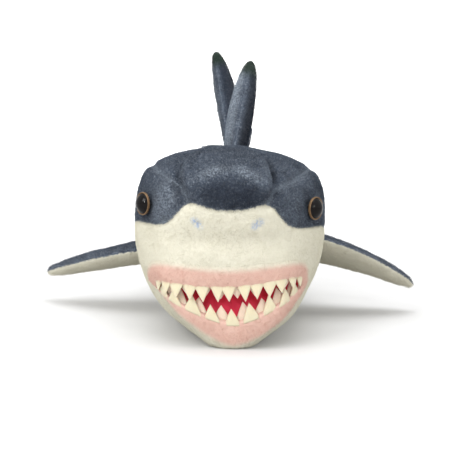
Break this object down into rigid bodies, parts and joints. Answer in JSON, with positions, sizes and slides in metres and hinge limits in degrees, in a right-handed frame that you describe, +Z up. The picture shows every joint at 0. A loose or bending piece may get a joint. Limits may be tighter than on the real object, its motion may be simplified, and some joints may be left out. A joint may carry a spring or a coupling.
{
  "type": "plush shark",
  "caption": "Stuffed cloth shark with a gaping toothed mouth, snap-in eyes and floppy fins, that lies on its flat belly.",
  "frame": {"origin": "on the floor plane under the middle of the belly, on the mid-plane", "axes": "+Z up, nose towards -Y, tail towards +Y, the shark's own left towards +X"},
  "size_m": [0.339, 0.5664, 0.2586],
  "materials": {
    "blue_plush": "short shiny pile",
    "cream_plush": "short soft pile",
    "gum_fleece": "brushed short fleece",
    "mouth_fabric": "flat knitted",
    "tooth_felt": "felt",
    "polyester_fibre": "loose white fibre",
    "eye_black": "polished",
    "eye_rim_gold": "pearly gold",
    "washer_plastic": "natural plastic"
  },
  "bodies": {
    "trunk": {"snout_panel": "blue_plush", "muzzle_panel": "cream_plush", "belly_panel": "cream_plush", "trunk_stuffing": "polyester_fibre", "upper_gum": "gum_fleece", "palate_lining": "mouth_fabric", "upper_teeth": "tooth_felt", "upper_inner_teeth": "tooth_felt", "left_brow_panel": "blue_plush", "left_back_panel": "blue_plush", "left_eye": "eye_black", "left_eye_rim": "eye_rim_gold", "left_eye_washer": "washer_plastic", "left_pelvic_top_panel": "blue_plush", "left_pelvic_bottom_panel": "cream_plush", "right_brow_panel": "blue_plush", "right_back_panel": "blue_plush", "right_eye": "eye_black", "right_eye_rim": "eye_rim_gold", "right_eye_washer": "washer_plastic", "right_pelvic_top_panel": "blue_plush", "right_pelvic_bottom_panel": "cream_plush"},
    "jaw": {"jaw_panel": "cream_plush", "jaw_stuffing": "polyester_fibre", "lower_gum": "gum_fleece", "mouth_floor_lining": "mouth_fabric", "lower_teeth": "tooth_felt", "lower_inner_teeth": "tooth_felt"},
    "tail": {"left_tail_panel": "blue_plush", "right_tail_panel": "blue_plush", "tail_belly_panel": "cream_plush", "tail_stuffing": "polyester_fibre", "second_dorsal_left_panel": "blue_plush", "second_dorsal_right_panel": "blue_plush"},
    "tail_fin": {"tail_fin_left_panel": "blue_plush", "tail_fin_right_panel": "blue_plush", "tail_fin_stuffing": "polyester_fibre"},
    "dorsal_fin": {"dorsal_left_panel": "blue_plush", "dorsal_right_panel": "blue_plush", "dorsal_stuffing": "polyester_fibre"},
    "left_pectoral_fin": {"left_pectoral_top_panel": "blue_plush", "left_pectoral_bottom_panel": "cream_plush", "left_pectoral_stuffing": "polyester_fibre"},
    "right_pectoral_fin": {"right_pectoral_top_panel": "blue_plush", "right_pectoral_bottom_panel": "cream_plush", "right_pectoral_stuffing": "polyester_fibre"}
  },
  "joints": [
    {"name": "jaw_hinge", "type": "hinge", "parent": "trunk", "child": "jaw", "pos_m": [0, -0.19, 0.046], "axis": [1, 0, 0], "range_deg": [-6, 12], "stiffness_Nm_per_rad": 0.2},
    {"name": "left_pectoral_flap", "type": "hinge", "parent": "trunk", "child": "left_pectoral_fin", "pos_m": [0.07587, -0.02584, 0.05921], "axis": [-0.0457, 0.9563, -0.2888], "range_deg": [-25, 10], "stiffness_Nm_per_rad": 0.6},
    {"name": "right_pectoral_flap", "type": "hinge", "parent": "trunk", "child": "right_pectoral_fin", "pos_m": [-0.07688, -0.02441, 0.05557], "axis": [0.0218, 0.9903, -0.1375], "range_deg": [-10, 25], "stiffness_Nm_per_rad": 0.6},
    {"name": "dorsal_flop", "type": "hinge", "parent": "trunk", "child": "dorsal_fin", "pos_m": [0.001, 0.03, 0.153], "axis": [0, 1, 0], "range_deg": [-20, 20], "stiffness_Nm_per_rad": 0.4},
    {"name": "tail_sway", "type": "hinge", "parent": "trunk", "child": "tail", "pos_m": [0, 0.118, 0.09], "axis": [0, 0, 1], "range_deg": [-20, 20], "stiffness_Nm_per_rad": 1},
    {"name": "tail_fin_sway", "type": "hinge", "parent": "tail", "child": "tail_fin", "pos_m": [0, 0.248, 0.118], "axis": [0, 0, 1], "range_deg": [-25, 25], "stiffness_Nm_per_rad": 0.5}
  ]
}
